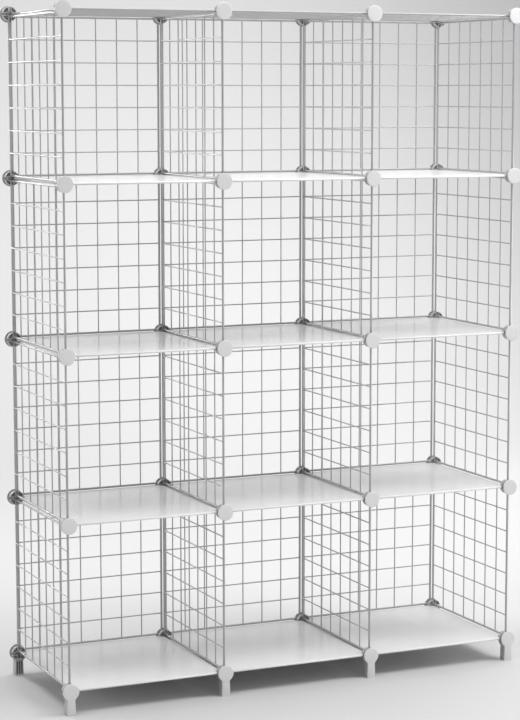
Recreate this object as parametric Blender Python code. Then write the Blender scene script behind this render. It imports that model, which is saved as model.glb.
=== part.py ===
"""Free-standing wire cube storage unit, three columns wide and four tiers high.

Wire-mesh panels are its sides, dividers, back and top, and framed plastic sheets are its
shelves.  Round plastic connectors at the corners of every cube grip the panels' frames in
slots, and those of the lowest level stand on legs.  Nothing moves once it is put together.

The origin is on the floor under the middle of the unit.  The open front faces -Y, +X is to
the right as seen from the front, and +Z is up.  All sizes are in metres.
"""

import math

import bmesh
import bpy
from mathutils import Euler, Matrix, Vector

MM = 0.001

# ---- Layout of the unit ----
COLUMNS = 3
TIERS = 4
COLUMN_NAMES = ("left", "middle", "right")
WALL_NAMES = ("left_side", "left_divider", "right_divider", "right_side")
PANEL = 305.0 * MM             # side of every square panel, over its frame
SEAM = 5.0 * MM                # between the frames of two panels in one plane
PITCH = PANEL + SEAM           # from one connector to the next
LOWEST_LEVEL = 44.0 * MM       # height of the lowest shelf's middle plane

# ---- Wire-mesh panels and shelves ----
FRAME = 4.4 * MM               # section of the wire that frames every panel
WIRE = 2.0 * MM                # section of the wires inside a mesh panel
WIRE_LAYER = 1.1 * MM          # middle of each of the two wire layers, from the panel's middle
CELLS = 7                      # mesh cells along each side of a panel
CORNER_CUT = 4.5 * MM          # chamfer of a panel's corners, which clears a connector's hub
SHEET = 1.2 * MM               # thickness of a shelf's plastic sheet, level with its frame's top

# ---- Connectors, sizes along their axis measured inwards from the round face ----
DISC_RADIUS = 15.5 * MM
DISC_THICKNESS = 3.0 * MM
RIM_CHAMFER = 1.2 * MM
HUB_RADIUS = 6.0 * MM
PETAL_START = 8.5 * MM         # the groove for panels in the connector's plane ends here
PETAL_END = 20.0 * MM
SLOT_START = 8.0 * MM
SLOT_WIDTH = 5.0 * MM
GROOVE_PLAY = 0.5 * MM         # between the disc and a panel in the groove
SLOT_PLAY = 0.3 * MM           # between the bottom of a slot and a panel's edge
ROUND_SIDES = 16
HUB_SIDES = 8

# ---- Legs of the lowest connectors ----
LEG_FACE = 0.4 * MM            # the disc stands this much proud of the leg
NECK_HALF_WIDTH = 7.3 * MM
FOOT_HALF_WIDTH = 8.8 * MM
NECK_DROP = 17.0 * MM          # from the connector's axis down to the neck
SHOULDER_RADIUS = 14.8 * MM    # the leg's top corners lie just inside the disc's rim
LEG_SKIN = 3.0 * MM            # wall behind the leg's outer face
RIB_HALF_THICKNESS = 1.3 * MM
POCKET_WIDTH = 3.4 * MM
POCKET_TOP_DROP = 18.0 * MM
SOLE = 2.5 * MM

# ---- Places that follow from the sizes above ----
HALF_DEPTH = PANEL / 2 + SLOT_START + SLOT_PLAY
BACK_PANEL_Y = HALF_DEPTH - DISC_THICKNESS - GROOVE_PLAY - FRAME / 2
POSTS = [(i - COLUMNS / 2) * PITCH for i in range(COLUMNS + 1)]
LEVELS = [LOWEST_LEVEL + i * PITCH for i in range(TIERS + 1)]

# ---- Turns of a panel, which is modelled lying flat ----
LYING = Euler((0.0, 0.0, 0.0))
FACING_SIDE = Euler((math.pi / 2, 0.0, math.pi / 2))
COLUMN_FACING_FRONT = Euler((math.pi / 2, math.pi / 2, 0.0))
TO_BACK = Euler((0.0, 0.0, math.pi))


def clear_scene():
    """Remove every object of the open file."""
    for item in list(bpy.data.objects):
        bpy.data.objects.remove(item)


def plain_material(name, colour, roughness):
    """A Principled BSDF material of one colour."""
    material = bpy.data.materials.new(name)
    material.use_nodes = True
    shader = material.node_tree.nodes["Principled BSDF"]
    shader.inputs["Base Color"].default_value = (*colour, 1.0)
    shader.inputs["Roughness"].default_value = roughness
    shader.inputs["Metallic"].default_value = 0.0
    material.diffuse_color = (*colour, 1.0)
    return material


# ---- Meshes ----

def add_box(bm, low, high):
    """Add a closed box between two corners."""
    low, high = Vector(low), Vector(high)
    place = Matrix.Translation((low + high) / 2) @ Matrix.Diagonal((*(high - low), 1.0))
    bmesh.ops.create_cube(bm, size=1.0, matrix=place)


def boxes_mesh(corners):
    """A mesh of separate boxes, one for each pair of corners."""
    bm = bmesh.new()
    for low, high in corners:
        add_box(bm, low, high)
    return finished_mesh(bm)


def prism_mesh(outline, depth_axis, start, end):
    """An outline of (u, v) points made solid along one axis, 'Y' or 'Z'."""
    bm = bmesh.new()
    if depth_axis == "Y":
        points = [Vector((u, start, v)) for u, v in outline]
        travel = Vector((0.0, end - start, 0.0))
    else:
        points = [Vector((u, v, start)) for u, v in outline]
        travel = Vector((0.0, 0.0, end - start))
    base = bm.faces.new([bm.verts.new(point) for point in points])
    swept = bmesh.ops.extrude_face_region(bm, geom=[base], use_keep_orig=True)
    moved = [item for item in swept["geom"] if isinstance(item, bmesh.types.BMVert)]
    bmesh.ops.translate(bm, verts=moved, vec=travel)
    bmesh.ops.recalc_face_normals(bm, faces=bm.faces)
    return finished_mesh(bm)


def turned_mesh(profile, sides):
    """A closed solid turned about the Y axis from (radius, y) points between two flat ends."""
    bm = bmesh.new()
    rings = []
    for radius, y in profile:
        angles = [2.0 * math.pi * (i + 0.5) / sides for i in range(sides)]
        ring = [bm.verts.new((radius * math.cos(a), y, radius * math.sin(a))) for a in angles]
        rings.append(ring)
    for near, far in zip(rings, rings[1:]):
        for i in range(sides):
            j = (i + 1) % sides
            bm.faces.new((near[i], near[j], far[j], far[i]))
    bm.faces.new(rings[0])
    bm.faces.new(rings[-1])
    bmesh.ops.recalc_face_normals(bm, faces=bm.faces)
    return finished_mesh(bm)


def finished_mesh(bm):
    """Turn a bmesh into a mesh and free it."""
    mesh = bpy.data.meshes.new("piece")
    bm.to_mesh(mesh)
    bm.free()
    return mesh


def carve(base, steps):
    """Apply Boolean steps, each an (operation, tool mesh) pair, to a mesh one after another."""
    collection = bpy.context.scene.collection
    body = bpy.data.objects.new("body", base)
    collection.objects.link(body)
    tools = []
    for operation, tool_mesh in steps:
        tool = bpy.data.objects.new("tool", tool_mesh)
        collection.objects.link(tool)
        tools.append(tool)
        modifier = body.modifiers.new(operation.lower(), "BOOLEAN")
        modifier.operation = operation
        modifier.solver = "EXACT"
        modifier.object = tool
    depsgraph = bpy.context.evaluated_depsgraph_get()
    result = bpy.data.meshes.new_from_object(body.evaluated_get(depsgraph))
    for item in tools + [body]:
        bpy.data.objects.remove(item)
    return result


# ---- Panels ----

def panel_centres(count):
    """Middles, along X, of panels in one row that is centred on the origin."""
    return [(i - (count - 1) / 2) * PITCH for i in range(count)]


def plate_outline(length, width):
    """A rectangle with chamfered corners, anticlockwise from its lower right."""
    x, y, cut = length / 2, width / 2, CORNER_CUT
    return [
        (x, -y + cut), (x, y - cut), (x - cut, y), (-x + cut, y),
        (-x, y - cut), (-x, -y + cut), (-x + cut, -y), (x - cut, -y),
    ]


def frame_windows(count):
    """Boxes to cut from a plate so that only the panels' frames are left."""
    inner = PANEL / 2 - FRAME
    windows = [((x - inner, -inner, -FRAME), (x + inner, inner, FRAME)) for x in panel_centres(count)]
    for left in panel_centres(count)[:-1]:
        seam = left + PITCH / 2
        windows.append(((seam - SEAM / 2, -inner, -FRAME), (seam + SEAM / 2, inner, FRAME)))
    return windows


def mesh_wires(count):
    """The wires inside every panel of a row: one layer along X and one along Y."""
    reach = (PANEL - FRAME) / 2
    spacing = (PANEL - FRAME) / CELLS
    offsets = [i * spacing - reach for i in range(1, CELLS)]
    half = WIRE / 2
    wires = []
    for x in panel_centres(count):
        for offset in offsets:
            low = (x - reach, offset - half, -WIRE_LAYER - half)
            wires.append((low, (x + reach, offset + half, -WIRE_LAYER + half)))
            low = (x + offset - half, -reach, WIRE_LAYER - half)
            wires.append((low, (x + offset + half, reach, WIRE_LAYER + half)))
    return wires


def mesh_row(count):
    """Wire-mesh panels in one row along X, with their long frame wires running through."""
    length = count * PITCH - SEAM
    plate = prism_mesh(plate_outline(length, PANEL), "Z", -FRAME / 2, FRAME / 2)
    frames = carve(plate, [("DIFFERENCE", boxes_mesh(frame_windows(count)))])
    return carve(frames, [("UNION", boxes_mesh(mesh_wires(count)))])


def shelf_mesh():
    """A plastic sheet drawn over a wire frame, flat on top and open underneath."""
    plate = prism_mesh(plate_outline(PANEL, PANEL), "Z", -FRAME / 2, FRAME / 2)
    inner = PANEL / 2 - FRAME
    recess = ((-inner, -inner, -FRAME), (inner, inner, FRAME / 2 - SHEET))
    return carve(plate, [("DIFFERENCE", boxes_mesh([recess]))])


# ---- Connectors, modelled with the round face at the origin and the petals towards +Y ----

def connector_parts():
    """Boolean steps that add the hub and the petals to a disc and cut the crossed slots."""
    overlap = 1.0 * MM
    hub = turned_mesh(
        [(HUB_RADIUS, DISC_THICKNESS - overlap), (HUB_RADIUS, PETAL_START + overlap)], HUB_SIDES)
    drum = turned_mesh([(DISC_RADIUS, PETAL_START), (DISC_RADIUS, PETAL_END)], ROUND_SIDES)
    half, reach, end = SLOT_WIDTH / 2, DISC_RADIUS + overlap, PETAL_END + overlap
    upright = boxes_mesh([((-half, SLOT_START, -reach), (half, end, reach))])
    level = boxes_mesh([((-reach, SLOT_START, -half), (reach, end, half))])
    return [("UNION", hub), ("UNION", drum), ("DIFFERENCE", upright), ("DIFFERENCE", level)]


def disc_mesh():
    """The connector's round face with a chamfered rim."""
    profile = [
        (DISC_RADIUS - RIM_CHAMFER, 0.0),
        (DISC_RADIUS, RIM_CHAMFER),
        (DISC_RADIUS, DISC_THICKNESS),
    ]
    return turned_mesh(profile, ROUND_SIDES)


def connector_mesh():
    """A round connector: disc, groove, and four petals around two crossed slots."""
    return carve(disc_mesh(), connector_parts())


def shoulder():
    """Where a line from the leg's neck touches the shoulder circle, as (half width, height)."""
    below = math.atan2(NECK_DROP, NECK_HALF_WIDTH)
    apart = math.acos(SHOULDER_RADIUS / math.hypot(NECK_DROP, NECK_HALF_WIDTH))
    return SHOULDER_RADIUS * math.cos(below - apart), -SHOULDER_RADIUS * math.sin(below - apart)


def leg_mesh():
    """A leg that runs from the disc's lower sides to the floor, ribbed on its inner side."""
    side = [
        shoulder(),
        (NECK_HALF_WIDTH, -NECK_DROP),
        (FOOT_HALF_WIDTH, -LOWEST_LEVEL),
    ]
    outline = side + [(-x, z) for x, z in reversed(side)]
    leg = prism_mesh(outline, "Y", LEG_FACE, PETAL_END)
    pockets = []
    for x in (-RIB_HALF_THICKNESS - POCKET_WIDTH, RIB_HALF_THICKNESS):
        low = (x, LEG_FACE + LEG_SKIN, SOLE - LOWEST_LEVEL)
        pockets.append((low, (x + POCKET_WIDTH, PETAL_END + MM, -POCKET_TOP_DROP)))
    return carve(leg, [("DIFFERENCE", boxes_mesh(pockets))])


def foot_connector_mesh():
    """A connector of the lowest level, with its leg."""
    return carve(disc_mesh(), connector_parts() + [("UNION", leg_mesh())])


# ---- Placing the pieces ----

def place(name, mesh, material, location, turn):
    """Add a named object that shows a mesh at a place."""
    if not mesh.materials:
        mesh.materials.append(material)
    piece = bpy.data.objects.new(name, mesh)
    piece.location = location
    piece.rotation_euler = turn
    bpy.context.scene.collection.objects.link(piece)
    return piece


def middle(values, index):
    """Halfway between one post or level and the next."""
    return (values[index] + values[index + 1]) / 2


def place_panels(wire, sheet):
    """Sides, dividers, shelves, back and top."""
    wall = mesh_row(1)
    shelf = shelf_mesh()
    back = mesh_row(TIERS)
    for tier in range(TIERS):
        for post, wall_name in zip(POSTS, WALL_NAMES):
            centre = (post, 0.0, middle(LEVELS, tier))
            place(f"{wall_name}_panel_tier_{tier + 1}", wall, wire, centre, FACING_SIDE)
        for column, column_name in enumerate(COLUMN_NAMES):
            centre = (middle(POSTS, column), 0.0, LEVELS[tier])
            place(f"{column_name}_shelf_tier_{tier + 1}", shelf, sheet, centre, LYING)
    mid_height = (LEVELS[0] + LEVELS[-1]) / 2
    for column, column_name in enumerate(COLUMN_NAMES):
        centre = (middle(POSTS, column), BACK_PANEL_Y, mid_height)
        place(f"{column_name}_back_panels", back, wire, centre, COLUMN_FACING_FRONT)
    place("top_panels", mesh_row(COLUMNS), wire, (0.0, 0.0, LEVELS[-1]), LYING)


def place_connectors(plastic):
    """Front connectors at every level, and back ones at the foot and the top."""
    plain = connector_mesh()
    footed = foot_connector_mesh()
    for mesh in (plain, footed):
        mesh.shade_smooth()
        mesh.set_sharp_from_angle(angle=math.radians(30.0))
    for number, post in enumerate(POSTS, start=1):
        for level, height in enumerate(LEVELS[1:], start=1):
            name = f"front_connector_post_{number}_level_{level}"
            place(name, plain, plastic, (post, -HALF_DEPTH, height), LYING)
        lowest, top = LEVELS[0], LEVELS[-1]
        place(f"front_foot_post_{number}", footed, plastic, (post, -HALF_DEPTH, lowest), LYING)
        place(f"back_foot_post_{number}", footed, plastic, (post, HALF_DEPTH, lowest), TO_BACK)
        place(f"back_top_connector_post_{number}", plain, plastic, (post, HALF_DEPTH, top), TO_BACK)


def main():
    """Build the whole unit."""
    clear_scene()
    wire = plain_material("white_powder_coat", (0.80, 0.80, 0.80), 0.38)
    sheet = plain_material("white_gloss_sheet", (0.78, 0.78, 0.79), 0.22)
    plastic = plain_material("white_moulded_plastic", (0.82, 0.82, 0.82), 0.42)
    place_panels(wire, sheet)
    place_connectors(plastic)


main()
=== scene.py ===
"""Looks of a free-standing wire cube storage unit.

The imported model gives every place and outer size.  Round welded wire, sheets drawn over
wire frames and moulded connectors are made here and take the place of its plain solids.
Lengths are in metres, the open front faces -Y, and +Z is up.
"""

import logging
import math
from dataclasses import dataclass
from enum import Enum
from typing import Iterable, Sequence

import bmesh
import bpy
from mathutils import Euler, Matrix, Vector


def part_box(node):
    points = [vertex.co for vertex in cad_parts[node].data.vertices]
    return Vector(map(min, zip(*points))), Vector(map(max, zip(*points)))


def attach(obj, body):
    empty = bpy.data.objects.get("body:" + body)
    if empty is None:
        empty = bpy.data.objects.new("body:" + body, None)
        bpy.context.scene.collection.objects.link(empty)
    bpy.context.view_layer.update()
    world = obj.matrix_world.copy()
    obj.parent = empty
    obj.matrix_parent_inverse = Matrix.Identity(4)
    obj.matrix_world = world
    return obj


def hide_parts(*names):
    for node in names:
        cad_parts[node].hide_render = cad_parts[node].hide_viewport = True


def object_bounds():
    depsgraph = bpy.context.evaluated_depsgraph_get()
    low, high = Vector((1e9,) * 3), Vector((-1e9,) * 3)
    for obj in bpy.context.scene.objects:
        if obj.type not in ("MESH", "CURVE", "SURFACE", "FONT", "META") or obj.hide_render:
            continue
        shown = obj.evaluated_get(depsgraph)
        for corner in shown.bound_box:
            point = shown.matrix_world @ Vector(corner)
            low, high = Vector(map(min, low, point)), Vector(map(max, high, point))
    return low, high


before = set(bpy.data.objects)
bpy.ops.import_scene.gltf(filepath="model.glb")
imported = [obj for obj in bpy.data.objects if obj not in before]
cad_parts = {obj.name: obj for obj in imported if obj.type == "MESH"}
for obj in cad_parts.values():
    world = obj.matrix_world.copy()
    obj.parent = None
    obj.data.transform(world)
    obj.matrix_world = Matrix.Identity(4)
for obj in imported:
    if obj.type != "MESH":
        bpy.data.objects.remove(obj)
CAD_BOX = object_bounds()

MM = 0.001
QUARTER = math.pi / 2
EASE = 0.3                         # a small rounded edge's middle point, in its own widths
BEVEL_STEPS = 2
BEVEL_ANGLE = math.radians(40.0)   # edges sharper than this are rounded
BODY = "root"
COLUMN_NAMES = ("left", "middle", "right")
WALL_NAMES = ("left_side", "left_divider", "right_divider", "right_side")

log = logging.getLogger("cube_unit")


class Slot(Enum):
    """The record's material slots."""

    WIRE = "white_wire"
    SHEET = "white_sheet"
    CONNECTOR = "white_connector"


class Facing(Enum):
    """How a panel that is modelled lying flat is turned to its place."""

    UP = (0.0, 0.0, 0.0)
    SIDE = (QUARTER, 0.0, QUARTER)
    FRONT = (QUARTER, QUARTER, 0.0)

    def matrix(self) -> Matrix:
        """The turn as a 4 by 4 matrix."""
        return Euler(self.value).to_matrix().to_4x4()


class Face(Enum):
    """Which way a connector's round face looks."""

    FRONT = 0.0
    BACK = math.pi

    def matrix(self) -> Matrix:
        """The turn as a 4 by 4 matrix."""
        return Matrix.Rotation(self.value, 4, "Z")


# ---- Node trees ----

class TreeBuilder:
    """Short calls for making a node tree of any kind."""

    def __init__(self, tree: bpy.types.NodeTree) -> None:
        """Keep the tree that is built, an empty one or a material's own."""
        self.tree = tree

    def add(self, kind: str, inputs: dict | None = None, **settings: object) -> bpy.types.Node:
        """Add a node.

        Args:
            kind: the node's type.
            inputs: for each input's name or number, a value or another node's output.
            settings: the node's own properties.

        Returns:
            The new node.
        """
        node = self.tree.nodes.new(kind)
        for name, value in settings.items():
            setattr(node, name, value)
        for key, source in (inputs or {}).items():
            self.feed(node, key, source)
        return node

    def feed(self, node: bpy.types.Node, key: str | int, source: object) -> None:
        """Join an output to a node's input, or set the input's own value.

        Args:
            node: the node whose input is fed.
            key: the input's name or number.
            source: a node's output, or a plain value.
        """
        if isinstance(source, bpy.types.NodeSocket):
            self.tree.links.new(source, node.inputs[key])
        else:
            node.inputs[key].default_value = source

    def maths(self, operation: str, *values: object) -> bpy.types.NodeSocket:
        """One step of arithmetic on numbers or outputs, by a Math node's operation."""
        return self.add("ShaderNodeMath", dict(enumerate(values)), operation=operation).outputs[0]

    def vector(self, x: object, y: object, z: object) -> bpy.types.NodeSocket:
        """A vector made of three numbers or outputs."""
        return self.add("ShaderNodeCombineXYZ", {0: x, 1: y, 2: z}).outputs[0]


class GeometryTree(TreeBuilder):
    """A Geometry Nodes tree with named sizes, which can be run into a plain mesh."""

    def __init__(self, name: str) -> None:
        """Start an empty tree.

        Args:
            name: the tree's name.
        """
        super().__init__(bpy.data.node_groups.new(name, "GeometryNodeTree"))
        self.tree.is_modifier = True
        self.tree.interface.new_socket(
            name="Geometry", in_out="INPUT", socket_type="NodeSocketGeometry")
        self.tree.interface.new_socket(
            name="Geometry", in_out="OUTPUT", socket_type="NodeSocketGeometry")
        self.inputs = self.tree.nodes.new("NodeGroupInput")
        self.material = self.given("Material", "NodeSocketMaterial")

    def given(self, name: str, kind: str = "NodeSocketFloat") -> bpy.types.NodeSocket:
        """Add a named input to the tree.

        Args:
            name: the input's name.
            kind: its socket type.

        Returns:
            The output of the Group Input node that carries it.
        """
        self.tree.interface.new_socket(name=name, in_out="INPUT", socket_type=kind)
        return self.inputs.outputs[name]

    def geometry(self, kind: str, inputs: dict | None = None, **settings: object) -> object:
        """Add a node and give its first output, which holds its geometry."""
        return self.add(kind, inputs, **settings).outputs[0]

    def tube(self, path: object, radius: object, sides: object) -> bpy.types.NodeSocket:
        """A round bar with closed ends along a path.

        Args:
            path: the curve that it follows.
            radius: the bar's radius.
            sides: how many flat sides stand for its round section.

        Returns:
            The bar's geometry.
        """
        ring = self.geometry(
            "GeometryNodeCurvePrimitiveCircle", {"Resolution": sides, "Radius": radius})
        return self.geometry(
            "GeometryNodeCurveToMesh", {"Curve": path, "Profile Curve": ring, "Fill Caps": True})

    def bent_square(self, span: object, corner: object, steps: int) -> bpy.types.NodeSocket:
        """A square path with rounded corners.

        Args:
            span: the square's side.
            corner: the radius of its corners.
            steps: how many points stand for each corner.

        Returns:
            The path, centred on the origin.
        """
        square = self.geometry(
            "GeometryNodeCurvePrimitiveQuadrilateral", {"Width": span, "Height": span})
        return self.geometry(
            "GeometryNodeFilletCurve", {"Curve": square, "Radius": corner, "Count": steps},
            mode="POLY")

    def join(self, parts: Iterable[object]) -> bpy.types.NodeSocket:
        """Join several geometries into one.

        Args:
            parts: the geometries.

        Returns:
            The joined geometry.
        """
        node = self.tree.nodes.new("GeometryNodeJoinGeometry")
        for part in parts:
            self.tree.links.new(part, node.inputs[0])
        return node.outputs[0]

    def close(self, geometry: object, smooth: bool = True) -> None:
        """End the tree in Realize Instances and Set Material.

        Args:
            geometry: what the tree has made.
            smooth: whether its faces are shaded smooth.
        """
        real = self.geometry("GeometryNodeRealizeInstances", {"Geometry": geometry})
        shaded = self.geometry(
            "GeometryNodeSetShadeSmooth", {"Geometry": real, "Shade Smooth": smooth})
        dressed = self.geometry(
            "GeometryNodeSetMaterial", {"Geometry": shaded, "Material": self.material})
        end = self.tree.nodes.new("NodeGroupOutput")
        self.tree.links.new(dressed, end.inputs[0])

    def run(self, sizes: dict, start: bpy.types.Mesh | None = None) -> bpy.types.Mesh:
        """Evaluate the tree once and keep the result as a plain mesh.

        Args:
            sizes: a value for every named input.
            start: the mesh that the tree works on, where it needs one.

        Returns:
            The finished mesh.
        """
        carrier = bpy.data.objects.new("carrier", start or bpy.data.meshes.new("empty"))
        bpy.context.scene.collection.objects.link(carrier)
        modifier = carrier.modifiers.new(self.tree.name, "NODES")
        modifier.node_group = self.tree
        for item in self.tree.interface.items_tree:
            if item.in_out == "INPUT" and item.name in sizes:
                modifier[item.identifier] = sizes[item.name]
        depsgraph = bpy.context.evaluated_depsgraph_get()
        mesh = bpy.data.meshes.new_from_object(carrier.evaluated_get(depsgraph))
        bpy.data.objects.remove(carrier)
        return mesh


# ---- Shader node groups ----

class ShaderGroup(TreeBuilder):
    """A shader node group with named inputs and outputs."""

    def __init__(self, name: str, inputs: dict[str, str], outputs: dict[str, str]) -> None:
        """Make the group's sockets.

        Args:
            name: the group's name.
            inputs: a socket type for each input's name.
            outputs: a socket type for each output's name.
        """
        super().__init__(bpy.data.node_groups.new(name, "ShaderNodeTree"))
        for socket, kind in inputs.items():
            self.tree.interface.new_socket(name=socket, in_out="INPUT", socket_type=kind)
        for socket, kind in outputs.items():
            self.tree.interface.new_socket(name=socket, in_out="OUTPUT", socket_type=kind)
        self.given = self.tree.nodes.new("NodeGroupInput").outputs
        self.result = self.tree.nodes.new("NodeGroupOutput")

    def give(self, name: str, source: bpy.types.NodeSocket) -> None:
        """Join an output of the group."""
        self.tree.links.new(source, self.result.inputs[name])


NUMBER = "NodeSocketFloat"
COLOUR = "NodeSocketColor"
VECTOR = "NodeSocketVector"
GRAIN_NOISE = {"Detail": 3.0, "Roughness": 0.55}
DRIFT_NOISE = {"Detail": 4.0, "Roughness": 0.5}
BLOTCH_NOISE = {"Scale": 26.0, "Detail": 6.0, "Roughness": 0.7}
WAVE_NOISE = {"Detail": 1.0, "Roughness": 0.4}
UPWARD = {"From Min": 0.35, "From Max": 0.95}     # how far up a surface looks to hold dust
BLOTCHES = {"From Min": 0.42, "From Max": 0.72}   # where the dust's clouds begin and end
DUST_ROUGHNESS = 0.35                             # what a full cover of dust would add


def surface_grain_group() -> bpy.types.NodeTree:
    """Fine grain of a coated or moulded surface, and slow drifts of its tone and gloss.

    Returns:
        A group that turns object coordinates into a tone, a roughness and a height.
    """
    group = ShaderGroup(
        "surface_grain",
        {"Coordinates": VECTOR, "Colour": COLOUR, "Grain Scale": NUMBER, "Drift Scale": NUMBER,
         "Tone Drift": NUMBER, "Roughness": NUMBER, "Roughness Drift": NUMBER},
        {"Colour": COLOUR, "Roughness": NUMBER, "Height": NUMBER})
    given = group.given
    grain = group.add("ShaderNodeTexNoise", {
        "Vector": given["Coordinates"], "Scale": given["Grain Scale"], **GRAIN_NOISE})
    drift = group.add("ShaderNodeTexNoise", {
        "Vector": given["Coordinates"], "Scale": given["Drift Scale"], **DRIFT_NOISE})
    centred = group.maths("SUBTRACT", drift.outputs["Fac"], 0.5)
    tone = group.maths("MULTIPLY_ADD", centred, given["Tone Drift"], 1.0)
    tinted = group.add("ShaderNodeVectorMath", {0: given["Colour"]}, operation="SCALE")
    group.feed(tinted, "Scale", tone)
    group.give("Colour", tinted.outputs[0])
    group.give("Roughness", group.maths(
        "MULTIPLY_ADD", centred, given["Roughness Drift"], given["Roughness"]))
    group.give("Height", grain.outputs["Fac"])
    return group.tree


def settled_dust_group() -> bpy.types.NodeTree:
    """A thin veil of dust where a surface looks up.

    Returns:
        A group that mixes a dust colour and roughness in by a blotchy mask.
    """
    group = ShaderGroup(
        "settled_dust",
        {"Coordinates": VECTOR, "Normal": VECTOR, "Colour": COLOUR, "Roughness": NUMBER,
         "Dust Colour": COLOUR, "Amount": NUMBER},
        {"Colour": COLOUR, "Roughness": NUMBER})
    given = group.given
    upward = group.add("ShaderNodeSeparateXYZ", {0: given["Normal"]}).outputs["Z"]
    facing = group.add("ShaderNodeMapRange", {"Value": upward, **UPWARD}).outputs[0]
    blotches = group.add(
        "ShaderNodeTexNoise", {"Vector": given["Coordinates"], **BLOTCH_NOISE})
    cloud = group.add(
        "ShaderNodeMapRange", {"Value": blotches.outputs["Fac"], **BLOTCHES}).outputs[0]
    mask = group.maths(
        "MULTIPLY", group.maths("MULTIPLY", facing, cloud), given["Amount"])
    mixed = group.add("ShaderNodeMix", {
        0: mask, 6: given["Colour"], 7: given["Dust Colour"]}, data_type="RGBA")
    group.give("Colour", mixed.outputs[2])
    group.give("Roughness", group.maths(
        "MULTIPLY_ADD", mask, DUST_ROUGHNESS, given["Roughness"]))
    return group.tree


# ---- Finishes ----

@dataclass(frozen=True)
class Finish:
    """One finish of the unit: a colour, a gloss, and a fine grain."""

    name: str
    slot: Slot
    colour: tuple[float, float, float]
    roughness: float
    specular: float
    grain_scale: float             # grains in a metre, roughly
    grain_depth: float             # height of the grain
    grain_strength: float          # weight of the grain in the bump
    drift_scale: float             # slow changes in a metre, roughly
    tone_drift: float              # spread of the tone
    roughness_drift: float         # spread of the roughness
    dust: float                    # share of the dust's colour where it lies thickest
    dust_colour: tuple[float, float, float] = (0.62, 0.60, 0.57)
    coat: float = 0.0
    coat_roughness: float = 0.03
    refraction: float = 1.5

    def material(self, groups: dict[str, bpy.types.NodeTree]) -> bpy.types.Material:
        """Build the finish.

        Args:
            groups: the shader node groups by name.

        Returns:
            The material.
        """
        material = bpy.data.materials.new(self.name)
        material.use_nodes = True
        build = TreeBuilder(material.node_tree)
        shader = material.node_tree.nodes["Principled BSDF"]
        shader.inputs["Metallic"].default_value = 0.0
        shader.inputs["IOR"].default_value = self.refraction
        shader.inputs["Specular IOR Level"].default_value = self.specular
        shader.inputs["Coat Weight"].default_value = self.coat
        shader.inputs["Coat Roughness"].default_value = self.coat_roughness
        place = build.add("ShaderNodeTexCoord").outputs["Object"]
        normal = build.add("ShaderNodeNewGeometry").outputs["Normal"]
        grain = build.add("ShaderNodeGroup", {
            "Coordinates": place, "Colour": (*self.colour, 1.0),
            "Grain Scale": self.grain_scale, "Drift Scale": self.drift_scale,
            "Tone Drift": self.tone_drift, "Roughness": self.roughness,
            "Roughness Drift": self.roughness_drift}, node_tree=groups["surface_grain"])
        dust = build.add("ShaderNodeGroup", {
            "Coordinates": place, "Normal": normal, "Colour": grain.outputs["Colour"],
            "Roughness": grain.outputs["Roughness"],
            "Dust Colour": (*self.dust_colour, 1.0),
            "Amount": self.dust}, node_tree=groups["settled_dust"])
        build.feed(shader, "Base Color", self.toned(build, dust.outputs["Colour"]))
        build.feed(shader, "Roughness", dust.outputs["Roughness"])
        bump = build.add("ShaderNodeBump", {
            "Height": self.relief(build, place, grain.outputs["Height"]),
            "Strength": self.grain_strength, "Distance": self.grain_depth})
        build.feed(shader, "Normal", bump.outputs[0])
        return material

    def toned(
            self, build: TreeBuilder, colour: bpy.types.NodeSocket) -> bpy.types.NodeSocket:
        """The surface's colour, which a finish may change from place to place, such as with
        painted shade.
        """
        return colour

    def relief(
            self, build: TreeBuilder, place: bpy.types.NodeSocket,
            grain: bpy.types.NodeSocket) -> bpy.types.NodeSocket:
        """The surface's height, which a finish may add its own relief to."""
        return grain


@dataclass(frozen=True)
class InnerShadeMoulding(Finish):
    """A finish whose inner side, behind its round face, is darkened as painted shade."""

    shade_attribute: str = "inner_side"   # the mesh attribute that is 1 on the inner side, where painted shade darkens the colour
    shade_share: float = 0.62        # share of the face's colour that the inner side keeps under its painted shade

    def toned(
            self, build: TreeBuilder, colour: bpy.types.NodeSocket) -> bpy.types.NodeSocket:
        """The colour, darkened on the inner side as painted shade.

        Args:
            build: the material's builder.
            colour: the colour with its drifts and dust.

        Returns:
            The colour that the shader reads.
        """
        # painted shade: the colour is scaled down wherever the inner side's attribute is 1
        mark = build.add("ShaderNodeAttribute", attribute_name=self.shade_attribute).outputs["Fac"]
        share = build.maths("MULTIPLY_ADD", mark, self.shade_share - 1.0, 1.0)
        return build.add(
            "ShaderNodeVectorMath", {0: colour, "Scale": share}, operation="SCALE").outputs[0]


@dataclass(frozen=True)
class RolledSheet(Finish):
    """A finish with long shallow waves, as a rolled plastic sheet has."""

    wave_scale: float = 9.0    # waves in a metre, roughly
    wave_share: float = 6.0    # height of the waves against the grain's

    def relief(
            self, build: TreeBuilder, place: bpy.types.NodeSocket,
            grain: bpy.types.NodeSocket) -> bpy.types.NodeSocket:
        """The fine grain plus waves many times as high.

        Args:
            build: the material's builder.
            place: object coordinates.
            grain: the fine grain's height.

        Returns:
            The height that the bump reads.
        """
        waves = build.add(
            "ShaderNodeTexNoise", {"Vector": place, "Scale": self.wave_scale, **WAVE_NOISE})
        return build.maths("MULTIPLY_ADD", waves.outputs["Fac"], self.wave_share, grain)


# The wires' paint is white, but their colour is set to a dark grey: painted shade for the wires'
# dim sides.
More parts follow.
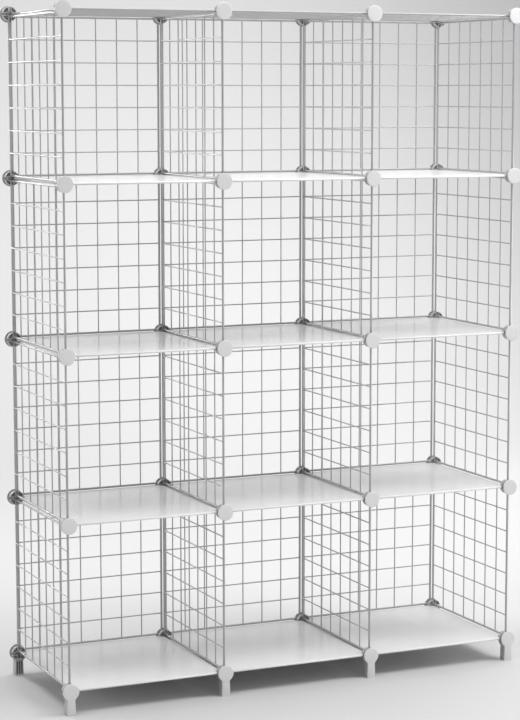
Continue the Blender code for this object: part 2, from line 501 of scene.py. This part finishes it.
POWDER_COAT = Finish(
    name="white_powder_coat", slot=Slot.WIRE, colour=(0.32, 0.32, 0.32), roughness=0.34,
    specular=0.5, grain_scale=1400.0, grain_depth=0.05 * MM, grain_strength=0.35,
    drift_scale=35.0, tone_drift=0.06, roughness_drift=0.12, dust=0.10, coat=1.0,
    coat_roughness=0.16)
# The connectors' faces behind their round face get painted shade: their colour is darkened there.
MOULDED_PLASTIC = InnerShadeMoulding(
    name="white_moulded_plastic", slot=Slot.CONNECTOR, colour=(0.63, 0.63, 0.63),
    roughness=0.42, specular=0.5, grain_scale=2600.0, grain_depth=0.03 * MM,
    grain_strength=0.3, drift_scale=60.0, tone_drift=0.05, roughness_drift=0.10, dust=0.08)
GLOSS_SHEET = RolledSheet(
    name="white_gloss_sheet", slot=Slot.SHEET, colour=(0.72, 0.72, 0.725), roughness=0.16,
    specular=0.24, grain_scale=900.0, grain_depth=0.02 * MM, grain_strength=0.25,
    drift_scale=14.0, tone_drift=0.03, roughness_drift=0.06, dust=0.12)


class Paintshop:
    """Builds each finish once and hands it out."""

    def __init__(self) -> None:
        """Build the shared groups and the three finishes."""
        groups = {
            "surface_grain": surface_grain_group(),
            "settled_dust": settled_dust_group(),
        }
        self.materials = {
            finish.slot: finish.material(groups)
            for finish in (POWDER_COAT, MOULDED_PLASTIC, GLOSS_SHEET)
        }

    def of(self, slot: Slot) -> bpy.types.Material:
        """The material of a slot."""
        return self.materials[slot]


# ---- Meshes and pieces ----

def turned(profile: Sequence[tuple[float, float]], sides: int) -> bpy.types.Mesh:
    """A closed solid turned about the Y axis.

    Args:
        profile: (radius, y) points from one flat end's rim to the other's.
        sides: how many flat sides stand for the round.

    Returns:
        The mesh.
    """
    bm = bmesh.new()
    rings = []
    for radius, y in profile:
        angles = [2.0 * math.pi * i / sides for i in range(sides)]
        rings.append([
            bm.verts.new((radius * math.cos(a), y, radius * math.sin(a))) for a in angles])
    return lofted(bm, rings)


def stacked(outlines: Sequence[tuple[Sequence[tuple[float, float]], float]]) -> bpy.types.Mesh:
    """A closed solid through outlines that lie across the Y axis.

    Args:
        outlines: (points, y) pairs, every list of (x, z) points of one length.

    Returns:
        The mesh.
    """
    bm = bmesh.new()
    rings = [[bm.verts.new((x, y, z)) for x, z in points] for points, y in outlines]
    return lofted(bm, rings)


def lofted(bm: bmesh.types.BMesh, rings: Sequence[Sequence[bmesh.types.BMVert]]) -> bpy.types.Mesh:
    """Join rings of points into a closed solid and free the bmesh.

    Args:
        bm: the bmesh that holds the rings.
        rings: rings of equal length, in order.

    Returns:
        The mesh.
    """
    for near, far in zip(rings, rings[1:]):
        for i, corner in enumerate(near):
            j = (i + 1) % len(near)
            bm.faces.new((corner, near[j], far[j], far[i]))
    bm.faces.new(rings[0])
    bm.faces.new(rings[-1])
    bmesh.ops.recalc_face_normals(bm, faces=bm.faces)
    mesh = bpy.data.meshes.new("solid")
    bm.to_mesh(mesh)
    bm.free()
    return mesh


def quarter_turn(centre: tuple[float, float], radius: float, start: float, steps: int) -> list:
    """Points on a quarter circle.

    Args:
        centre: its centre.
        radius: its radius.
        start: the angle that it starts at, in degrees, going anticlockwise.
        steps: how many straight steps stand for it.

    Returns:
        Its points in order.
    """
    angles = [math.radians(start + 90.0 * i / steps) for i in range(steps + 1)]
    return [
        (centre[0] + radius * math.cos(a), centre[1] + radius * math.sin(a)) for a in angles]


def carve(
        base: bpy.types.Mesh, steps: Iterable[tuple[str, bpy.types.Mesh]],
        rounding: float = 0.0) -> bpy.types.Mesh:
    """Apply Boolean steps to a mesh, and round its edges.

    Args:
        base: the mesh to start from.
        steps: (operation, tool) pairs.
        rounding: the width of the rounded edges, or 0 for none.

    Returns:
        The finished mesh.
    """
    collection = bpy.context.scene.collection
    body = bpy.data.objects.new("body", base)
    collection.objects.link(body)
    used = [body]
    for operation, tool_mesh in steps:
        tool = bpy.data.objects.new("tool", tool_mesh)
        collection.objects.link(tool)
        used.append(tool)
        modifier = body.modifiers.new(operation.lower(), "BOOLEAN")
        modifier.operation = operation
        modifier.solver = "EXACT"
        modifier.object = tool
    if rounding:
        bevel = body.modifiers.new("rounding", "BEVEL")
        bevel.width = rounding
        bevel.segments = BEVEL_STEPS
        bevel.limit_method = "ANGLE"
        bevel.angle_limit = BEVEL_ANGLE
    depsgraph = bpy.context.evaluated_depsgraph_get()
    mesh = bpy.data.meshes.new_from_object(body.evaluated_get(depsgraph))
    for item in used:
        bpy.data.objects.remove(item)
    return mesh


def box_mesh(low: Sequence[float], high: Sequence[float]) -> bpy.types.Mesh:
    """A closed box between two corners.

    Args:
        low: its lowest corner.
        high: its highest corner.

    Returns:
        The mesh.
    """
    x0, y0, z0 = low
    x1, y1, z1 = high
    outline = [(x0, z0), (x1, z0), (x1, z1), (x0, z1)]
    return stacked([(outline, y0), (outline, y1)])


@dataclass
class Assembly:
    """A sub-assembly: it builds meshes once and puts a copy in each place."""

    paint: Paintshop

    def put(
            self, name: str, mesh: bpy.types.Mesh, matrix: Matrix, slot: Slot,
            nodes: Sequence[str] = ()) -> bpy.types.Object:
        """Put a copy of a mesh in its place as a finished piece.

        Args:
            name: the piece's name.
            mesh: the mesh, in its own frame.
            matrix: its place.
            slot: its finish.
            nodes: the solids that it stands for.

        Returns:
            The piece.
        """
        copy = mesh.copy()
        copy.name = name
        copy.transform(matrix)
        copy.materials.clear()
        copy.materials.append(self.paint.of(slot))
        piece = bpy.data.objects.new(name, copy)
        bpy.context.scene.collection.objects.link(piece)
        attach(piece, BODY)
        if nodes:
            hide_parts(*nodes)
        log.info("%s: %d faces, %s", name, len(copy.polygons), slot.value)
        return piece


# ---- Wire panels ----

@dataclass
class WirePanels(Assembly):
    """Every welded wire panel: sides, dividers, back and top."""

    frame_radius: float = 2.2 * MM
    wire_radius: float = 1.25 * MM
    layer: float = 1.15 * MM         # from the panel's middle to each layer of inner wires
    corner_radius: float = 5.5 * MM  # of the frame's bent corners, at the wire's middle
    cells: int = 7                   # along each side of a panel
    weld_radius: float = 1.55 * MM   # of the weld where two inner wires cross
    foot_radius: float = 1.75 * MM   # of the bead where an inner wire meets the frame
    frame_sides: int = 14            # flat sides of a frame wire's round section
    wire_sides: int = 10
    corner_steps: int = 6
    bead_steps: tuple[int, int] = (10, 6)
    bead_shape: tuple[float, float, float] = (0.7, 0.8, 0.8)
    weld_steps: int = 2
    weld_flatness: float = 0.6       # a weld's height against its radius
    tiers: int = 4

    def tree(self) -> GeometryTree:
        """Build the tree that makes one panel, lying flat and centred on the origin.

        Returns:
            The tree.
        """
        tree = GeometryTree("wire_panel")
        side = tree.given("Side")
        frame_radius = tree.given("Frame Radius")
        wire_radius = tree.given("Wire Radius")
        layer = tree.given("Layer")
        corner = tree.given("Corner Radius")
        cells = tree.given("Cells", "NodeSocketInt")
        weld = tree.given("Weld Radius")
        foot = tree.given("Foot Radius")
        span = tree.maths("SUBTRACT", side, tree.maths("MULTIPLY", frame_radius, 2.0))
        reach = tree.maths("DIVIDE", span, 2.0)
        spacing = tree.maths("DIVIDE", span, cells)
        inner_count = tree.maths("SUBTRACT", cells, 1.0)
        first = tree.maths("SUBTRACT", spacing, reach)
        down = tree.maths("MULTIPLY", layer, -1.0)

        bent = tree.bent_square(span, corner, self.corner_steps)
        outer = tree.tube(bent, frame_radius, self.frame_sides)

        line = tree.geometry("GeometryNodeCurvePrimitiveLine", {
            "Start": tree.vector(tree.maths("MULTIPLY", reach, -1.0), 0.0, 0.0),
            "End": tree.vector(reach, 0.0, 0.0)})
        places = tree.geometry("GeometryNodeMeshLine", {
            "Count": inner_count, "Start Location": tree.vector(0.0, first, down),
            "Offset": tree.vector(0.0, spacing, 0.0)})
        level = tree.geometry("GeometryNodeInstanceOnPoints", {
            "Points": places, "Instance": tree.tube(line, wire_radius, self.wire_sides)})

        segments, rings = self.bead_steps
        bead = tree.geometry(
            "GeometryNodeMeshUVSphere", {"Segments": segments, "Rings": rings, "Radius": foot})
        rows = []
        for end in (-1.0, 1.0):
            edge = tree.maths("MULTIPLY", tree.maths("SUBTRACT", reach, frame_radius), end)
            rows.append(tree.geometry("GeometryNodeMeshLine", {
                "Count": inner_count, "Start Location": tree.vector(edge, first, down),
                "Offset": tree.vector(0.0, spacing, 0.0)}))
        feet = tree.geometry("GeometryNodeInstanceOnPoints", {
            "Points": tree.join(rows), "Instance": bead,
            "Scale": tree.vector(*self.bead_shape)})

        one_layer = tree.join([level, feet])
        other_layer = tree.geometry("GeometryNodeTransform", {
            "Geometry": one_layer, "Rotation": (math.pi, 0.0, QUARTER)})

        grid_side = tree.maths("SUBTRACT", span, tree.maths("MULTIPLY", spacing, 2.0))
        crossings = tree.geometry("GeometryNodeMeshGrid", {
            "Size X": grid_side, "Size Y": grid_side,
            "Vertices X": inner_count, "Vertices Y": inner_count})
        nugget = tree.geometry(
            "GeometryNodeMeshIcoSphere", {"Radius": weld, "Subdivisions": self.weld_steps})
        welds = tree.geometry("GeometryNodeInstanceOnPoints", {
            "Points": crossings, "Instance": nugget,
            "Scale": tree.vector(1.0, 1.0, self.weld_flatness)})
        tree.close(tree.join([outer, one_layer, other_layer, welds]))
        return tree

    def panel(self, side: float) -> bpy.types.Mesh:
        """Run the tree for a panel of one size.

        Args:
            side: the panel's side over its frame.

        Returns:
            The panel's mesh.
        """
        return self.tree().run({
            "Side": side, "Frame Radius": self.frame_radius, "Wire Radius": self.wire_radius,
            "Layer": self.layer, "Corner Radius": self.corner_radius, "Cells": self.cells,
            "Weld Radius": self.weld_radius, "Foot Radius": self.foot_radius,
            "Material": self.paint.of(Slot.WIRE)})

    def build(self) -> None:
        """Make one panel and put a copy in every place."""
        low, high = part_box("left_side_panel_tier_1")
        side = (high - low).z
        panel = self.panel(side)
        for tier in range(1, self.tiers + 1):
            for wall in WALL_NAMES:
                node = f"{wall}_panel_tier_{tier}"
                self.put_panel(panel, f"{node}_wire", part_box(node), Facing.SIDE, node)
        for column in COLUMN_NAMES:
            node = f"{column}_back_panels"
            parts = self.shares(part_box(node), 2, self.tiers, side)
            for tier, part in enumerate(parts, start=1):
                self.put_panel(
                    panel, f"{column}_back_panel_tier_{tier}_wire", part, Facing.FRONT, node)
        parts = self.shares(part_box("top_panels"), 0, len(COLUMN_NAMES), side)
        for column, part in zip(COLUMN_NAMES, parts):
            self.put_panel(panel, f"{column}_top_panel_wire", part, Facing.UP, "top_panels")

    def put_panel(
            self, panel: bpy.types.Mesh, name: str, box: tuple[Vector, Vector],
            facing: Facing, node: str) -> None:
        """Put one panel in the middle of a box.

        Args:
            panel: the panel's mesh.
            name: the piece's name.
            box: the box's lowest and highest corners.
            facing: how the panel is turned.
            node: the solid that it stands for.
        """
        middle = (box[0] + box[1]) / 2
        self.put(name, panel, Matrix.Translation(middle) @ facing.matrix(), Slot.WIRE, [node])

    def shares(
            self, box: tuple[Vector, Vector], axis: int, count: int,
            side: float) -> list[tuple[Vector, Vector]]:
        """Split the box of a row of square panels into one box for each panel.

        Args:
            box: the row's lowest and highest corners.
            axis: the axis that the row runs along, 0 for X and 2 for Z.
            count: how many panels the row has.
            side: one panel's side.

        Returns:
            The boxes in order.
        """
        low, high = box
        pitch = ((high - low)[axis] - side) / (count - 1)
        parts = []
        for i in range(count):
            part_low, part_high = low.copy(), high.copy()
            part_low[axis] = low[axis] + i * pitch
            part_high[axis] = part_low[axis] + side
            parts.append((part_low, part_high))
        return parts


# ---- Shelves ----

@dataclass
class Shelves(Assembly):
    """Wire frames with a glossy plastic sheet drawn over them."""

    wire_radius: float = 1.7 * MM
    corner_radius: float = 6.0 * MM
    sheet: float = 0.9 * MM          # thickness of the sheet
    hem: float = 9.0 * MM            # how far the sheet's hem reaches in under the frame
    lip: float = 0.4 * MM            # thickness of the hem's edge
    corner_cut: float = 13.0 * MM    # the sheet's cut corners, which bare the wire
    hem_droop: float = 0.3 * MM      # how far the hem's tip hangs below its edge
    hem_tip: float = 1.5 * MM        # length of that tip
    hem_round: float = 0.1 * MM
    inner_reach: float = 2.0 * MM    # from the hem's edge to where the sheet's flat begins
    arc_steps: int = 8
    frame_sides: int = 14
    corner_steps: int = 8
    sharp_angle: float = math.radians(50.0)
    tiers: int = 4

    def frame_tree(self) -> GeometryTree:
        """Build the tree that makes the bent wire under a sheet's edge.

        Returns:
            The tree.
        """
        tree = GeometryTree("shelf_frame")
        span = tree.given("Span")
        radius = tree.given("Radius")
        corner = tree.given("Corner Radius")
        bent = tree.bent_square(span, corner, self.corner_steps)
        tree.close(tree.tube(bent, radius, self.frame_sides))
        return tree

    def outline(self, half: float, inset: float) -> list[tuple[float, float]]:
        """The sheet's outline with cut corners, moved inwards.

        Args:
            half: half the shelf's side.
            inset: how far in from the shelf's edge.

        Returns:
            Its eight corners.
        """
        edge = half - inset
        cut = self.corner_cut - inset * (2.0 - math.sqrt(2.0))
        near = edge - cut
        return [
            (edge, -near), (edge, near), (near, edge), (-near, edge),
            (-edge, near), (-edge, -near), (-near, -edge), (near, -edge)]

    def sheet_mesh(self, half: float, thickness: float) -> bpy.types.Mesh:
        """A sheet, flat on top, that wraps round its frame and ends in a hem underneath.

        Args:
            half: half the shelf's side.
            thickness: the shelf's thickness over its frame.

        Returns:
            The mesh.
        """
        wrap = thickness / 2
        angles = [math.pi * i / self.arc_steps for i in range(self.arc_steps + 1)]
        around = [(wrap - math.sin(a) * wrap, math.cos(a) * wrap) for a in angles]
        under = wrap - self.sheet
        inner = self.hem + self.inner_reach
        section = [(inner, wrap)] + around + [
            (self.hem - self.hem_tip, under - self.lip - self.hem_droop),
            (self.hem, under - self.lip),
            (self.hem + self.hem_round, under),
            (inner, under),
        ]
        bm = bmesh.new()
        rings = [
            [bm.verts.new((x, y, z)) for x, y in self.outline(half, inset)]
            for inset, z in section]
        return lofted(bm, rings)

    def build(self) -> None:
        """Make one shelf and put a copy in every place."""
        low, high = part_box("left_shelf_tier_1")
        side = (high - low).x
        thickness = (high - low).z
        sheet = self.sheet_mesh(side / 2, thickness)
        sheet.shade_smooth()
        sheet.set_sharp_from_angle(angle=self.sharp_angle)
        wire = self.frame_tree().run({
            "Span": side - thickness, "Radius": self.wire_radius,
            "Corner Radius": self.corner_radius, "Material": self.paint.of(Slot.WIRE)})
        for tier in range(1, self.tiers + 1):
            for column in COLUMN_NAMES:
                node = f"{column}_shelf_tier_{tier}"
                low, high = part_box(node)
                place = Matrix.Translation((low + high) / 2)
                self.put(f"{node}_sheet", sheet, place, Slot.SHEET, [node])
                self.put(f"{node}_wire", wire, place, Slot.WIRE, [node])


# ---- Connectors ----

@dataclass
class Connectors(Assembly):
    """Round slotted connectors, and those with legs at the lowest level."""

    radius: float = 15.5 * MM
    disc: float = 3.0 * MM           # thickness of the round face
    rim: float = 0.9 * MM            # radius of its rounded rim
    rim_steps: int = 5
    back_edge: float = 0.4 * MM      # width of the small edge at its back
    fillet: float = 0.8 * MM         # where the hub meets the disc
    hub_radius: float = 6.0 * MM
    hub_overlap: float = 0.6 * MM    # of the hub into the petals' floor
    petal_start: float = 8.5 * MM
    petal_end: float = 17.5 * MM
    petal_radius: float = 14.0 * MM
    slot: float = 5.0 * MM
    wall: float = 1.5 * MM           # of the hollow petals
    petal_edge: float = 0.5 * MM     # width of a petal's rounded edges
    petal_floor: float = 1.6 * MM
    mouth_width: float = 0.3 * MM    # of the small edge round the hollow's mouth
    mouth_depth: float = 0.4 * MM
    draft: float = 0.1 * MM          # how much the hollow narrows towards its floor
    rib: float = 1.2 * MM            # thickness of a petal's rib
    rib_start: float = 0.9           # from the axis to its inner end, in slot widths
    rib_bite: float = 0.6            # share of the wall that its outer end goes into
    rib_drop: float = 2.5 * MM       # from a petal's end to its rib's end
    sides: int = 56
    petal_steps: int = 12
    sharp_angle: float = math.radians(32.0)
    petals: int = 4
    leg_face: float = 0.5 * MM       # the leg's face lies this far behind the disc's
    leg_skin: float = 3.0 * MM
    neck_half: float = 7.6 * MM
    foot_half: float = 8.6 * MM
    neck_drop: float = 14.9 * MM
    pockets: int = 3                 # between the ribs on the leg's inner side
    pocket: float = 3.2 * MM         # width of each pocket
    pocket_pitch: float = 4.6 * MM
    pocket_top: float = 1.0 * MM     # from the neck down to the pockets
    sole: float = 2.5 * MM
    leg_rounding: float = 0.45 * MM
    shoulder_inset: float = 0.5 * MM  # the leg's top corners lie inside the disc's rim
    posts: int = 4
    levels: int = 4

    def body_mesh(self) -> bpy.types.Mesh:
        """The round face and the hub behind it.

        Returns:
            The mesh, with its face at the origin and its hub towards +Y.
        """
        rim = [
            (self.radius - self.rim + x, self.rim - y)
            for x, y in quarter_turn((0.0, 0.0), self.rim, 0.0, self.rim_steps)]
        profile = [(self.radius / 2, 0.0)] + rim[::-1] + [
            (self.radius, self.disc - self.back_edge),
            (self.radius - self.back_edge, self.disc),
            (self.hub_radius + self.fillet, self.disc),
            (self.hub_radius + self.fillet * EASE, self.disc + self.fillet * EASE),
            (self.hub_radius, self.disc + self.fillet),
            (self.hub_radius, self.petal_start + self.hub_overlap),
        ]
        return turned(profile, self.sides)

    def petal_outline(self, inset: float) -> list[tuple[float, float]]:
        """A quarter of the round between two crossed slots, moved inwards.

        Args:
            inset: how far in from the petal's own outline.

        Returns:
            Its (x, z) points.
        """
        near = self.slot / 2 + inset
        radius = self.petal_radius - inset
        first = math.asin(near / radius)
        last = QUARTER - first
        steps = self.petal_steps
        angles = [first + (last - first) * i / steps for i in range(steps + 1)]
        return [(near, near)] + [(radius * math.cos(a), radius * math.sin(a)) for a in angles]

    def petal_mesh(self) -> bpy.types.Mesh:
        """One hollow petal, open at its inner end.

        Returns:
            The mesh, between the positive X and Z axes.
        """
        start, end, wall, edge = self.petal_start, self.petal_end, self.wall, self.petal_edge
        return stacked([
            (self.petal_outline(edge), start),
            (self.petal_outline(0.0), start + edge),
            (self.petal_outline(0.0), end - edge),
            (self.petal_outline(edge * EASE), end - edge * EASE),
            (self.petal_outline(edge), end),
            (self.petal_outline(wall - self.mouth_width), end),
            (self.petal_outline(wall), end - self.mouth_depth),
            (self.petal_outline(wall + self.draft), start + self.petal_floor),
        ])

    def rib_mesh(self) -> bpy.types.Mesh:
        """The rib that runs across a petal's hollow.

        Returns:
            The mesh, turned to run halfway between two slots.
        """
        floor = self.petal_start + self.petal_floor / 2
        wall = self.petal_radius - self.wall * self.rib_bite
        low = (self.slot * self.rib_start, floor, -self.rib / 2)
        high = (wall, self.petal_end - self.rib_drop, self.rib / 2)
        rib = box_mesh(low, high)
        rib.transform(Matrix.Rotation(-QUARTER / 2, 4, "Y"))
        return rib

    def ring_tree(self) -> GeometryTree:
        """Build the tree that repeats a piece about the connector's axis.

        Returns:
            The tree.
        """
        tree = GeometryTree("ring_of_petals")
        count = tree.given("Count", "NodeSocketInt")
        points = tree.geometry("GeometryNodePoints", {"Count": count})
        index = tree.add("GeometryNodeInputIndex").outputs[0]
        angle = tree.maths("MULTIPLY", index, tree.maths("DIVIDE", 2.0 * math.pi, count))
        ring = tree.geometry("GeometryNodeInstanceOnPoints", {
            "Points": points, "Instance": tree.inputs.outputs["Geometry"],
            "Rotation": tree.vector(0.0, angle, 0.0)})
        tree.close(ring, smooth=False)
        return tree

    def round_part(self) -> bpy.types.Mesh:
        """Disc, hub, petals and ribs in one.

        Returns:
            The mesh.
        """
        ring = self.ring_tree()
        given = {"Count": self.petals, "Material": self.paint.of(Slot.CONNECTOR)}
        petals = ring.run(given, self.petal_mesh())
        ribs = ring.run(given, self.rib_mesh())
        return carve(self.body_mesh(), [("UNION", petals), ("UNION", ribs)])

    def shoulder(self) -> tuple[float, float]:
        """Where a line from the leg's neck touches the round.

        Returns:
            The half width and the drop from the axis at that point.
        """
        radius = self.radius - self.shoulder_inset
        below = math.atan2(self.neck_drop, self.neck_half)
        apart = math.acos(radius / math.hypot(self.neck_drop, self.neck_half))
        return radius * math.cos(below - apart), radius * math.sin(below - apart)

    def leg_mesh(self, drop: float) -> bpy.types.Mesh:
        """A leg that is ribbed on its inner side.

        Args:
            drop: from the connector's axis down to the floor.

        Returns:
            The mesh.
        """
        wide, shoulder_drop = self.shoulder()
        side = [
            (wide, -shoulder_drop),
            (self.neck_half, -self.neck_drop),
            (self.foot_half, -drop),
        ]
        outline = side + [(-x, z) for x, z in reversed(side)]
        leg = stacked([(outline, self.leg_face), (outline, self.petal_end)])
        steps = []
        top = -self.neck_drop - self.pocket_top
        for i in range(self.pockets):
            middle = (i - (self.pockets - 1) / 2) * self.pocket_pitch
            low = (middle - self.pocket / 2, self.leg_face + self.leg_skin, self.sole - drop)
            high = (middle + self.pocket / 2, self.petal_end + MM, top)
            steps.append(("DIFFERENCE", box_mesh(low, high)))
        return carve(leg, steps, rounding=self.leg_rounding)

    def mark_painted_shade(self, mesh: bpy.types.Mesh) -> None:
        """Mark every face that lies behind the round face's disc, for the finish's painted shade.

        Args:
            mesh: a connector's mesh.
        """
        mark = mesh.attributes.new(MOULDED_PLASTIC.shade_attribute, "FLOAT", "FACE")
        for face in mesh.polygons:
            mark.data[face.index].value = float(face.center.y > self.disc - self.back_edge)

    def build(self) -> None:
        """Make both kinds of connector and put a copy in every place."""
        round_part = self.round_part()
        low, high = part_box("front_foot_post_1")
        axis_height = high.z - (high.x - low.x) / 2
        footed = carve(round_part.copy(), [("UNION", self.leg_mesh(axis_height - low.z))])
        for mesh in (round_part, footed):
            mesh.shade_smooth()
            mesh.set_sharp_from_angle(angle=self.sharp_angle)
            self.mark_painted_shade(mesh)
        for post in range(1, self.posts + 1):
            for level in range(1, self.levels + 1):
                node = f"front_connector_post_{post}_level_{level}"
                low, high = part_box(node)
                place = Vector(((low.x + high.x) / 2, low.y, (low.z + high.z) / 2))
                self.put_connector(round_part, f"{node}_moulding", place, Face.FRONT, [node])
                back = Vector((place.x, CAD_BOX[1].y, place.z))
                name = f"back_connector_post_{post}_level_{level}_moulding"
                nodes = [f"back_top_connector_post_{post}"] if level == self.levels else []
                self.put_connector(round_part, name, back, Face.BACK, nodes)
            for side, face in (("front", Face.FRONT), ("back", Face.BACK)):
                node = f"{side}_foot_post_{post}"
                low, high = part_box(node)
                outer = low.y if face is Face.FRONT else high.y
                place = Vector(((low.x + high.x) / 2, outer, axis_height))
                self.put_connector(footed, f"{node}_moulding", place, face, [node])

    def put_connector(
            self, mesh: bpy.types.Mesh, name: str, place: Vector, face: Face,
            nodes: Sequence[str]) -> None:
        """Put one connector with its round face at a place.

        Args:
            mesh: the connector's mesh.
            name: the piece's name.
            place: the middle of its round face.
            face: which way the round face looks.
            nodes: the solids that it stands for.
        """
        matrix = Matrix.Translation(place) @ face.matrix()
        self.put(name, mesh, matrix, Slot.CONNECTOR, nodes)


# ---- Studio ----

@dataclass(frozen=True)
class AreaLight:
    """A soft rectangular light that looks at a point."""

    name: str
    place: tuple[float, float, float]
    target: tuple[float, float, float]
    size: tuple[float, float]
    power: float

    def build(self) -> None:
        """Make the light."""
        data = bpy.data.lights.new(self.name, "AREA")
        data.shape = "RECTANGLE"
        data.size, data.size_y = self.size
        data.energy = self.power
        lamp = bpy.data.objects.new(self.name, data)
        lamp.location = self.place
        aim = Vector(self.target) - Vector(self.place)
        lamp.rotation_euler = aim.to_track_quat("-Z", "Y").to_euler()
        bpy.context.scene.collection.objects.link(lamp)
        log.info("light %s: %.0f W", self.name, self.power)


@dataclass
class Studio:
    """A pale floor that curves up into a backdrop, soft lights and the camera."""

    floor_colour: tuple[float, float, float] = (0.55, 0.55, 0.55)
    floor_roughness: float = 0.75
    floor_specular: float = 0.2
    world_colour: tuple[float, float, float] = (1.0, 1.0, 1.0)
    world_strength: float = 0.445
    half_width: float = 9.0
    front_edge: float = -6.0
    wall_place: float = 5.0
    wall_height: float = 7.0
    bend: float = 3.0                # radius of the curve from floor to backdrop
    bend_steps: int = 24
    lens: float = 106.97
    sensor: float = 36.0
    camera_place: tuple[float, float, float] = (-1.7373, -3.7783, 1.1374)
    camera_turn: tuple[float, float, float] = (82.86, 0.03, -24.56)
    lights: tuple[AreaLight, ...] = (
        AreaLight("overhead", (0.0, 0.1, 3.4), (0.0, 0.05, 0.6), (3.6, 2.7), 108.0),
        AreaLight("key", (1.25, -0.85, 1.85), (0.3, -0.16, 1.1), (0.7, 0.7), 18.0),
        AreaLight("left_low", (-2.6, 0.6, 0.7), (0.0, 0.0, 0.4), (1.6, 1.0), 18.0),
        AreaLight("right_low", (2.6, 0.4, 0.5), (0.0, 0.0, 0.3), (1.6, 0.8), 25.0),
        AreaLight("front_low", (0.6, -3.0, 0.25), (0.2, 0.0, 0.0), (2.0, 0.3), 18.0),
        AreaLight("rim", (-0.95, 1.9, 1.5), (-0.45, 0.0, 1.1), (0.1, 1.6), 9.0),
        AreaLight("backdrop_low", (1.6, 2.3, 2.4), (1.6, 3.4, 0.0), (1.5, 1.0), 41.0),
        AreaLight("backdrop_high", (2.1, 2.6, 3.2), (2.1, 5.0, 1.5), (1.8, 1.0), 16.5),
    )

    def cove(self) -> None:
        """Sweep the floor up into the backdrop along a quarter round."""
        corner = [
            (self.wall_place - self.bend + y, self.bend + z)
            for y, z in quarter_turn((0.0, 0.0), self.bend, -90.0, self.bend_steps)]
        line = [(self.front_edge, 0.0)] + corner + [(self.wall_place, self.wall_height)]
        bm = bmesh.new()
        left = [bm.verts.new((-self.half_width, y, z)) for y, z in line]
        right = [bm.verts.new((self.half_width, y, z)) for y, z in line]
        for i in range(len(line) - 1):
            bm.faces.new((left[i], right[i], right[i + 1], left[i + 1]))
        mesh = bpy.data.meshes.new("floor_and_backdrop")
        bm.to_mesh(mesh)
        bm.free()
        mesh.shade_smooth()
        mesh.materials.append(self.floor_material())
        floor = bpy.data.objects.new("floor_and_backdrop", mesh)
        bpy.context.scene.collection.objects.link(floor)

    def floor_material(self) -> bpy.types.Material:
        """The pale, matt floor, which is clear when it is seen from behind or below.

        Returns:
            The material.
        """
        material = bpy.data.materials.new("pale_floor")
        material.use_nodes = True
        build = TreeBuilder(material.node_tree)
        shader = material.node_tree.nodes["Principled BSDF"]
        shader.inputs["Base Color"].default_value = (*self.floor_colour, 1.0)
        shader.inputs["Roughness"].default_value = self.floor_roughness
        shader.inputs["Specular IOR Level"].default_value = self.floor_specular
        mixed = build.add("ShaderNodeMixShader", {
            0: build.add("ShaderNodeNewGeometry").outputs["Backfacing"],
            1: shader.outputs[0],
            2: build.add("ShaderNodeBsdfTransparent").outputs[0]})
        build.feed(material.node_tree.nodes["Material Output"], "Surface", mixed.outputs[0])
        return material

    def world(self) -> None:
        """An even, pale surrounding light, seen without a film-like tone curve."""
        bpy.context.scene.view_settings.view_transform = "Standard"
        world = bpy.data.worlds.new("soft_surroundings")
        world.use_nodes = True
        background = world.node_tree.nodes["Background"]
        background.inputs["Color"].default_value = (*self.world_colour, 1.0)
        background.inputs["Strength"].default_value = self.world_strength
        bpy.context.scene.world = world

    def camera(self) -> None:
        """The camera, in front of the unit's left side and a little above its middle."""
        data = bpy.data.cameras.new("camera")
        data.lens = self.lens
        data.sensor_width = self.sensor
        data.dof.use_dof = False
        camera = bpy.data.objects.new("camera", data)
        camera.location = self.camera_place
        camera.rotation_euler = [math.radians(angle) for angle in self.camera_turn]
        bpy.context.scene.collection.objects.link(camera)
        bpy.context.scene.camera = camera

    def build(self) -> None:
        """Make the whole studio."""
        self.cove()
        self.world()
        for light in self.lights:
            light.build()
        self.camera()


def main() -> None:
    """Build the unit and the studio in order."""
    logging.basicConfig(level=logging.INFO, format="%(name)s: %(message)s")
    Studio().build()
    paint = Paintshop()
    for assembly in (WirePanels(paint), Shelves(paint), Connectors(paint)):
        assembly.build()
        log.info("%s done", type(assembly).__name__)


if __name__ == "__main__":
    main()
